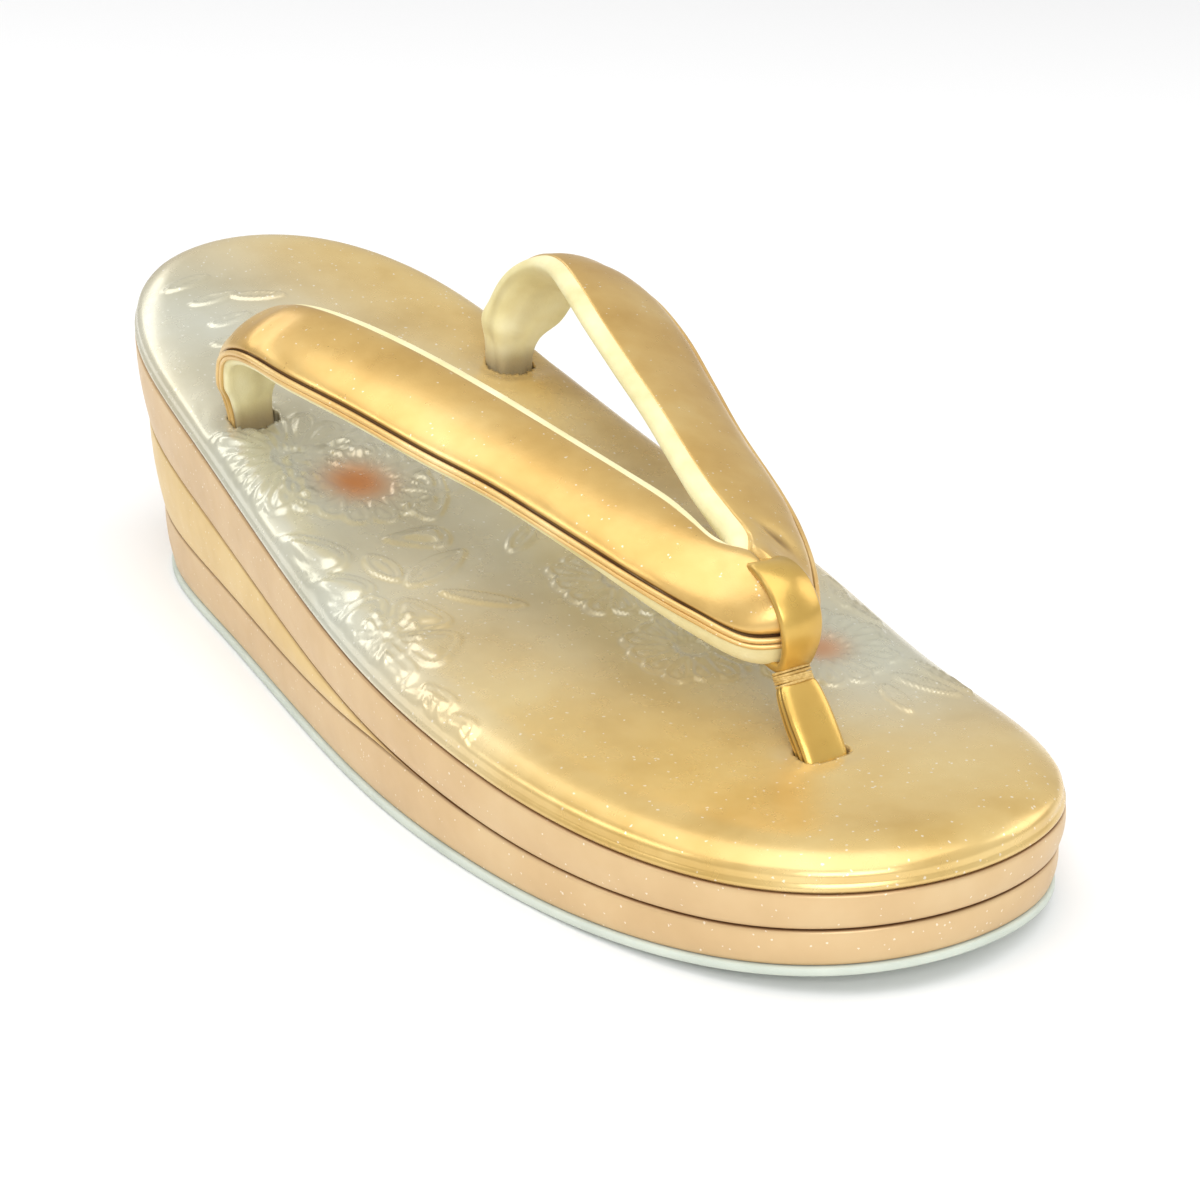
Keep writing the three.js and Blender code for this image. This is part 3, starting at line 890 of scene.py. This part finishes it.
def hole(x, y, half_width, half_length, power_x=1.0, power_y=1.0):
    """A hole's outline in plan. Powers under 1 turn it into a rounded rectangle."""
    t = np.linspace(0, 2 * math.pi, HOLE_POINTS, endpoint=False)
    return np.column_stack([x + half_width * squared(np.cos(t), power_x),
                            y + half_length * squared(np.sin(t), power_y)])


# The holes for the medial arm, the lateral arm and the post.
HOLES = [
    # outline, depth of its dimple, reach of its dimple
    (hole(28.1, 56.2, 4.9, 4.4), 1.0, 3.0),
    (hole(-27.3, 56.2, 4.9, 4.4), 1.0, 3.0),
    (hole(0.0, -81.6, 4.7, 3.0, 0.5, 0.6), 0.5, 2.6),
]


def shoulder_height(inset):
    """Height over the seam where the padding rounds off towards the edge."""
    return PAD_TOP - SHOULDER_DROP * ((SHOULDER_TO - inset) / (SHOULDER_TO - SHOULDER_FROM)) ** 3.6


def pad_rings():
    """The rings up the insole's lip and over its shoulder."""
    insets = np.linspace(SHOULDER_FROM, SHOULDER_TO, SHOULDER_ROWS)
    profile = PAD_LIP + [(inset, shoulder_height(inset)) for inset in insets]
    return [ring(inset, lambda y, up=up: height(UNDER_PAD, y) + up) for inset, up in profile]


def pad_rows(last_ring):
    """Rows of points across the top, inside the last ring."""
    share = np.linspace(0, 1, PAD_COLUMNS + 1)[1:-1, None]
    rows = []
    for i in range(1, OUTLINE_POINTS // 2):
        row = last_ring[i] * (1 - share) + last_ring[OUTLINE_POINTS - i] * share
        row[:, 2] = height(UNDER_PAD, row[:, 1]) + PAD_TOP
        rows.append(row)
    return rows


def pad_row_faces(top):
    """Faces over the top. The last ring's points start at number top, then come the rows."""
    half = OUTLINE_POINTS // 2

    def vertex(i, j):
        if j == 0:
            return top + i
        if j == PAD_COLUMNS:
            return top + OUTLINE_POINTS - i
        return top + OUTLINE_POINTS + (i - 1) * (PAD_COLUMNS - 1) + j - 1

    faces = []
    for i in range(1, half - 1):
        for j in range(PAD_COLUMNS):
            faces.append((vertex(i, j), vertex(i + 1, j), vertex(i + 1, j + 1), vertex(i, j + 1)))
    for j in range(PAD_COLUMNS):
        faces.append((vertex(1, j), vertex(1, j + 1), top))
    for j in range(PAD_COLUMNS):
        faces.append((top + half, vertex(half - 1, j + 1), vertex(half - 1, j)))
    return faces


def press_dimples(points, on_top):
    """Sinks the leather round each hole."""
    plan = points[:, :2]
    for hole, depth, reach in HOLES:
        near = on_top & (np.linalg.norm(plan - hole.mean(0), axis=1) < DIMPLE_LIMIT)
        away = distance_to(plan[near], np.concatenate([hole, hole[:1]]))
        away = np.where(inside_outline(plan[near], hole), 0.0, away)
        points[near, 2] -= depth * bell(away, reach)


def outward_normals(points, faces):
    """Each point's way out of the pad. The faces are wound inwards, so it is turned round."""
    mesh = bpy.data.meshes.new("probe")
    mesh.from_pydata(points.tolist(), [], faces)
    normals = np.zeros(len(points) * 3)
    mesh.vertex_normals.foreach_get("vector", normals)
    bpy.data.meshes.remove(mesh)
    return -normals.reshape(-1, 3)


def make_insole():
    """The padded top: its lip and shoulder, dimples round the holes, then the flower relief."""
    rings = pad_rings()
    points = np.concatenate(rings + pad_rows(rings[-1]))
    faces = band_faces(len(rings), OUTLINE_POINTS)
    faces += [face[::-1] for face in ladder_faces(0)]
    faces += pad_row_faces((len(rings) - 1) * OUTLINE_POINTS)
    edge = np.zeros(len(points))
    edge[:len(FOOT_SHADES) * OUTLINE_POINTS] = np.repeat(FOOT_SHADES, OUTLINE_POINTS)

    plan = points[:, :2].copy()
    seam = height(UNDER_PAD, points[:, 1])
    on_top = points[:, 2] > seam + TOP_FROM
    press_dimples(points, on_top)
    blush = blush_at(plan)
    relief = flower_relief().heights(plan) * (1 - BLUSH_FLATTENS * blush)
    on_pad = np.clip((points[:, 2] - seam - RELIEF_FROM) / RELIEF_RISE, 0, 1)
    points = points + outward_normals(points, faces) * (relief * on_pad)[:, None]

    centres = np.array([plan[list(face)].mean(0) for face in faces])
    in_hole = np.any([inside_outline(centres, hole) for hole, _, _ in HOLES], axis=0)
    faces = [face for face, gone in zip(faces, in_hole) if not (gone and on_top[face[0]])]
    piece = make_object("insole_pad", points, faces, pearl_leather,
                        {"Silver": spread(plan, SILVER_CLOUDS), "Blush": blush, "PaintedShade": edge})
    close_holes(piece)
    finish_piece(piece, "insole_leather", "insole")


def close_holes(piece):
    """Gives each hole in the top a wall down into the pad and a floor."""
    bm = bmesh.new()
    bm.from_mesh(piece.data)
    loose = [v for v in bm.verts if not v.link_faces]
    bmesh.ops.delete(bm, geom=loose, context="VERTS")
    rim = [e for e in bm.edges if e.is_boundary]
    for depth in (HOLE_RIM, HOLE_DEPTH):
        made = bmesh.ops.extrude_edge_only(bm, edges=rim)["geom"]
        for v in (g for g in made if isinstance(g, bmesh.types.BMVert)):
            v.co.z -= depth * MM
        rim = [g for g in made if isinstance(g, bmesh.types.BMEdge) and g.is_boundary]
    bmesh.ops.holes_fill(bm, edges=rim, sides=0)
    bmesh.ops.recalc_face_normals(bm, faces=bm.faces)
    bm.to_mesh(piece.data)
    bm.free()
    piece.data.polygons.foreach_set("use_smooth", [True] * len(piece.data.polygons))


# ------ straps
ARM_FULLNESS = 0.8
OUTWARD_FULLNESS = 0.9


def arm_frames():
    """Middle, across, up, half width, thickness and lean at even stations along one arm."""
    rows = smooth_path(np.column_stack([
        (ARM_SECTIONS[:, 0:3] + ARM_SECTIONS[:, 3:6]) / 2,
        ARM_SECTIONS[:, 3:6] - ARM_SECTIONS[:, 0:3],
        ARM_SECTIONS[:, 6:8],
    ]), ARM_STATIONS)
    middle, across, thick, lean = rows[:, 0:3], rows[:, 3:6], rows[:, 6], rows[:, 7]
    wide = np.linalg.norm(across, axis=1)
    across = across / wide[:, None]
    up = np.cross(across, np.gradient(middle, axis=0))
    up = unit_rows(up - across * (up * across).sum(1)[:, None])
    return middle, across, up, wide / 2, thick, lean


ARM = arm_frames()


def arm_surface(angle, proud, side):
    """Points along one arm at an angle round its section: 0 outer edge, 90 crown, 180 inner."""
    middle, across, up, half, thick, lean = ARM
    a = np.radians(np.broadcast_to(angle, half.shape))
    rise = np.sin(a)
    reach = thick * np.where(rise > 0, CROWN_SHARE, 1 - CROWN_SHARE)
    out = unit_rows(np.column_stack([np.cos(a) / half, squared(rise, OUTWARD_FULLNESS) / reach]))
    flat = np.cos(a) * half + out[:, 0] * proud
    lift = squared(rise, ARM_FULLNESS) * reach + out[:, 1] * proud
    points = middle + across * flat[:, None] + up * lift[:, None]
    points[:, 0] = points[:, 0] * side + lean
    return points


def arm_piece(name, lines, shade, material, slot, side):
    """A body lofted along the arm through the (angle, proud) lines of its section."""
    points = np.stack([arm_surface(angle, proud, side) for angle, proud in lines], axis=1)
    faces = lofted_faces(ARM_STATIONS, len(lines))
    piece = make_object(name, points.reshape(-1, 3), faces, material, {"PaintedShade": shade.reshape(-1)})
    finish_piece(piece, slot, "straps")
    return piece


# Places along an arm, from the fold behind the toes (0) to its end in the sole (1).
ALONG_ARM = np.linspace(0, 1, ARM_STATIONS)
FRONT_END = bell(ALONG_ARM, 0.15)
IN_BAND = bell(ALONG_ARM, 0.042)
REAR_LEG = step_up(ALONG_ARM - 0.84, 0.02)
TUCK = bell(ALONG_ARM - 0.925, 0.016)
BASE_SHADE = step_up(ALONG_ARM - 0.957, 0.007)

# The padded leather: the angles of its two edges, and how far it stands out from the arm.
GOLD_FROM = 22.5 + 10.0 * FRONT_END
GOLD_TO = 141.0 - 4.0 * FRONT_END
GOLD_PROUD = 0.5
GOLD_EDGE = -0.45
GOLD_UNDERSIDE = -2.2
GOLD_FULLNESS = 0.30
BAND_SWELL = 2.3
GOLD_STEPS, GOLD_UNDER_STEPS = 41, 9
EDGE_SHADE, EDGE_SHADE_REACH = 0.95, 0.045
CREASE_SHADE, CREASE_SHADE_FROM, CREASE_SHADE_RANGE = 1.5, 0.35, 0.5

# The velvet lining. A groove runs beside the leather's lower edge, and a lip under that.
LINING_STEP = 4.0
LINING_SUNK = 0.15
GATHERS, GATHER_DEPTH, GATHER_SHADE = 5, 0.42, 0.22
TUCK_DEPTH = 1.1
LIP_RISE, LIP_AT, LIP_REACH = 0.9, -22.0, 15.0
FRONT_SWELL, FRONT_SWELL_AT, FRONT_SWELL_REACH = 1.9, -45.0, 38.0
GROOVE_DEPTH, GROOVE_OFFSET, GROOVE_REACH = 0.8, 5.0, 5.0
UNDER_GOLD_DEPTH = 2.5
CREASE_OFFSET, CREASE_REACH = 4.5, 5.5
LEG_SHADE = 0.7

# Two rows of piping under the padded leather: angles from its edge, and their radii.
PIPING_GAP = 11.0 - 3.5 * FRONT_END
PIPING_STEP = 11.0
PIPING_PROUD = 0.12
PIPING_RADII = (0.50, 0.46)
PIPING_SIDES = 10

# Soft troughs pressed into the padded leather. Each row: the arms that have it (1 medial,
# -1 lateral, 0 both), its place along the arm, its angle, its reaches both ways, its depth.
ARM_TROUGHS = [
    (1, 0.094, 84.0, 0.015, 22.0, 0.8),
    (0, 0.745, 60.0, 0.012, 40.0, 0.22),
    (0, 0.790, 95.0, 0.012, 40.0, 0.28),
    (0, 0.835, 70.0, 0.012, 40.0, 0.30),
    (0, 0.880, 100.0, 0.012, 40.0, 0.26),
    (0, 0.160, 40.0, 0.018, 18.0, 0.12),
    (0, 0.300, 35.0, 0.025, 14.0, 0.10),
]


def trough_depth(angle, side):
    depth = np.zeros(ARM_STATIONS)
    for arms, place, middle, along, round_it, deep in ARM_TROUGHS:
        if arms in (0, side):
            depth += deep * bell(ALONG_ARM - place, along) * bell(angle - middle, round_it)
    return depth


def gold_lines(side):
    """The padded leather shell: domed over the crown, both edges rolled under."""
    lines, shade = [], []
    for t in np.linspace(0, 1, GOLD_STEPS):
        angle = GOLD_FROM + (GOLD_TO - GOLD_FROM) * t
        dome = math.sin(math.pi * t) ** GOLD_FULLNESS
        swell = GOLD_EDGE + (GOLD_PROUD - GOLD_EDGE + BAND_SWELL * IN_BAND) * dome
        depth = trough_depth(angle, side)
        lines.append((angle, swell - depth))
        # Painted shade: dark brown along the rolled lower edge at the crease, and in the deepest
        # troughs.
        rolled = max(1 - t / EDGE_SHADE_REACH, 0) * EDGE_SHADE
        creased = CREASE_SHADE * np.clip(depth - CREASE_SHADE_FROM, 0, CREASE_SHADE_RANGE)
        shade.append(np.maximum(rolled, creased))
    for t in np.linspace(1, 0, GOLD_UNDER_STEPS):
        lines.append((GOLD_FROM + (GOLD_TO - GOLD_FROM) * t, GOLD_UNDERSIDE))
        shade.append(np.zeros(ARM_STATIONS))
    return lines, np.stack(shade, axis=1)


def lining_lines():
    """The velvet underside and edges, gathered where the arm turns down into the sole."""
    lines, shade = [], []
    for angle in np.arange(0.0, 360.0, LINING_STEP):
        signed = angle if angle < 180 else angle - 360
        inner_side = math.sin(math.radians(angle / 2)) ** 2
        gathers = GATHER_DEPTH * math.sin(math.radians(GATHERS * angle)) * REAR_LEG * inner_side
        tuck = TUCK_DEPTH * TUCK * inner_side
        lip = LIP_RISE * bell(signed - LIP_AT, LIP_REACH)
        front = FRONT_SWELL * FRONT_END * bell(signed - FRONT_SWELL_AT, FRONT_SWELL_REACH)
        groove = GROOVE_DEPTH * bell(signed - GOLD_FROM + GROOVE_OFFSET, GROOVE_REACH)
        under_gold = UNDER_GOLD_DEPTH * ((signed > GOLD_FROM + 4.0) & (signed < GOLD_TO - 8.0))
        lines.append((angle, -LINING_SUNK + lip + front + gathers + tuck - groove - under_gold))
        # Painted shade: in the crease under the leather's lower edge, in the hollows of the gathers, and
        # at the foot of the leg.
        from_crease = np.abs(signed - (GOLD_FROM - CREASE_OFFSET)) / CREASE_REACH
        creased = np.clip(1.8 - from_crease, 0, 1)
        gathered = np.clip(-gathers / GATHER_DEPTH, 0, 1) * GATHER_SHADE
        shade.append(np.maximum(np.maximum(creased, gathered), LEG_SHADE * BASE_SHADE))
    return lines, np.stack(shade, axis=1)


def make_straps():
    for side, tag in ((1, "medial"), (-1, "lateral")):
        arm_piece(f"strap_lining_{tag}", *lining_lines(), cream_velvet, "strap_lining", side)
        roll = arm_piece(f"strap_leather_{tag}", *gold_lines(side), strap_leather, "strap_leather", side)
        for row, radius in enumerate(PIPING_RADII):
            angle = GOLD_FROM - PIPING_GAP - PIPING_STEP * row
            points, faces = tube(arm_surface(angle, PIPING_PROUD, side), radius, PIPING_SIDES)
            pipe = make_object(f"strap_piping_{tag}_{row + 1}", points, faces, piping_leather)
            finish_piece(pipe, "strap_leather", "straps")


# ------ toe strap
LOOP_STEPS = 96
BAND_EDGE_SHADE = 0.3

# The band is drawn in at its neck over the thread, and behind the fold of the straps.
BAND_PINCHES = [
    # y and z, share of the width that is lost, reach
    (POST_SECTIONS[0, :2], 0.30, 6.5),
    (LOOP_PATH[1], 0.34, 5.5),
]

# The band's section, its edges folded and a little thicker than its middle.
HALF_BAND = BAND_WIDTH / 2
BAND_SECTION = np.array([
    # across, out
    (-HALF_BAND, -0.3), (-HALF_BAND, 0.35), (-HALF_BAND + 0.25, 0.75),
    (-HALF_BAND + 0.8, 0.92), (-HALF_BAND + 1.4, 0.80), (-1.6, 0.86),
    (0.0, 0.95),
    (1.6, 0.86), (HALF_BAND - 1.4, 0.80), (HALF_BAND - 0.8, 0.92),
    (HALF_BAND - 0.25, 0.75), (HALF_BAND, 0.35), (HALF_BAND, -0.3),
    (HALF_BAND - 0.5, -BAND_LEATHER / 2), (-HALF_BAND + 0.5, -BAND_LEATHER / 2),
])

POST_STEPS, POST_SIDES = 60, 56
POST_FOLDS = (0.28, -0.34)
FOLD_REACH, FOLD_DEPTH = 0.10, 0.10

THREAD_TURNS, TURN_STEPS = 6, 30
THREAD_RADIUS, THREAD_SIDES = 0.26, 7
THREAD_CLEARANCE = 0.55
WINDING_LENGTH = 2.6
WINDING_SLACK = 0.16


def square_to(run):
    """The directions in the YZ plane at right angles to each row of run."""
    return np.column_stack([np.zeros(len(run)), -run[:, 2], run[:, 1]])


def make_loop():
    path = smooth_path([(0.0, y, z) for y, z in LOOP_PATH], LOOP_STEPS, closed=True)
    out = square_to(unit_rows(closed_run(path)))
    pinch = np.ones(len(path))
    for place, share, reach in BAND_PINCHES:
        pinch -= share * bell(np.linalg.norm(path[:, 1:] - np.array(place), axis=1), reach)
    across, proud = BAND_SECTION.T
    points = []
    for place, way, narrowed in zip(path, out, pinch):
        points.append(place + np.outer(across * narrowed, [1, 0, 0]) + np.outer(proud, way))
    faces = band_faces(len(path), len(across), closed_rows=True)
    shade = np.where(np.abs(np.abs(across) - HALF_BAND) < 0.1, BAND_EDGE_SHADE, 0.0)
    piece = make_object("toe_band", np.concatenate(points), faces, band_leather,
                        {"PaintedShade": np.tile(shade, len(path))})
    finish_piece(piece, "antique_gold_leather", "toe_strap")


def make_post():
    """A flattened roll of leather with two folds down each side."""
    rows = smooth_path(np.column_stack([np.zeros(len(POST_SECTIONS)), POST_SECTIONS]), POST_STEPS)
    deep_way = square_to(unit_rows(np.gradient(rows[:, :3], axis=0)))
    t = np.linspace(0, 2 * math.pi, POST_SIDES, endpoint=False)
    wide = squared(np.cos(t), 0.45)
    deep = squared(np.sin(t), 0.7)
    on_side = np.clip((np.abs(wide) - 0.8) / 0.15, 0, 1)
    folds = sum(bell(deep - place, FOLD_REACH) for place in POST_FOLDS) * on_side
    wide = wide * (1 - FOLD_DEPTH * folds)
    points = []
    for row, way in zip(rows, deep_way):
        points.append(row[:3] + np.outer(wide * row[3] / 2, [1, 0, 0])
                      + np.outer(deep * row[4] / 2, way))
    faces = lofted_faces(POST_STEPS, POST_SIDES)
    # The folds also carry painted shade: the leather is darkened down each fold.
    piece = make_object("toe_post", np.concatenate(points), faces, band_leather,
                        {"PaintedShade": np.tile(folds, POST_STEPS)})
    finish_piece(piece, "antique_gold_leather", "toe_strap")


def make_thread():
    """A helix wound round the neck of the toe strap, with slightly uneven turns."""
    neck_y, neck_z, wide, deep = POST_SECTIONS[1]
    run = POST_SECTIONS[2, :2] - POST_SECTIONS[0, :2]
    run = np.array([0, run[0], run[1]]) / np.linalg.norm(run)
    deep_way = np.array([0, -run[2], run[1]])
    path = []
    for k in range(THREAD_TURNS * TURN_STEPS + 1):
        a = 2 * math.pi * k / TURN_STEPS
        x = squared(math.cos(a), 0.6) * (wide / 2 + THREAD_CLEARANCE)
        d = squared(math.sin(a), 0.6) * (deep / 2 + THREAD_CLEARANCE)
        drift = (k / (THREAD_TURNS * TURN_STEPS) - 0.5) * WINDING_LENGTH
        drift += WINDING_SLACK * math.sin(5.1 * k / TURN_STEPS)
        path.append(np.array([x, neck_y, neck_z]) + deep_way * d + run * drift)
    points, faces = tube(path, THREAD_RADIUS, THREAD_SIDES)
    piece = make_object("thread_wrap", points, faces, gold_thread)
    finish_piece(piece, "thread", "thread_binding")


# ------ floor and light
FLOOR_HALF = 4.0
FLOOR_DROP = 0.0002
FLOOR_GREY = 0.86
SKY_STRENGTH = 0.47

LIGHTS = [
    # name, place, target, size both ways, power
    ("key", (-0.12, -0.12, 0.95), (0, -0.02, 0.03), (1.3, 1.0), 7.8),
    ("front", (-0.45, -0.90, 0.55), (0, -0.02, 0.03), (0.7, 0.4), 5.8),
    ("side", (-0.95, 0.25, 0.6), (0, 0, 0.03), (0.5, 0.3), 2.0),
    ("right", (0.90, -0.25, 0.50), (0, -0.02, 0.04), (0.5, 0.5), 2.0),
    ("back", (-0.20, 0.90, 0.62), (0, 0, 0.04), (0.9, 0.25), 1.7),
]


def make_stage():
    """A pale floor just under the sole, and a white sky."""
    corners = [(-1, -1), (1, -1), (1, 1), (-1, 1)]
    mesh = bpy.data.meshes.new("floor")
    mesh.from_pydata([(FLOOR_HALF * x, FLOOR_HALF * y, 0) for x, y in corners], [], [(0, 1, 2, 3)])
    material, tree, shader = node_material("floor_paper")
    feed(tree, shader, Base_Color=(FLOOR_GREY, FLOOR_GREY, FLOOR_GREY, 1), Roughness=0.9)
    mesh.materials.append(material)
    floor = add_object("floor", mesh)
    floor.location.z = -FLOOR_DROP
    world = bpy.data.worlds.new("studio")
    bpy.context.scene.world = world
    world.use_nodes = True
    tree = world.node_tree
    feed(tree, tree.nodes["Background"], Color=(1.0, 1.0, 1.0, 1), Strength=SKY_STRENGTH)


def add_light(name, place, target, size, power):
    data = bpy.data.lights.new(name, "AREA")
    data.shape = "RECTANGLE"
    data.size, data.size_y = size
    data.energy = power
    light = add_object(name, data)
    light.location = place
    light.rotation_euler = (Vector(target) - Vector(place)).to_track_quat("-Z", "Y").to_euler()


make_outsole()
make_sole()
make_insole()
make_straps()
make_loop()
make_post()
make_thread()
make_stage()
for light in LIGHTS:
    add_light(*light)
bpy.context.scene.view_settings.view_transform = "Standard"
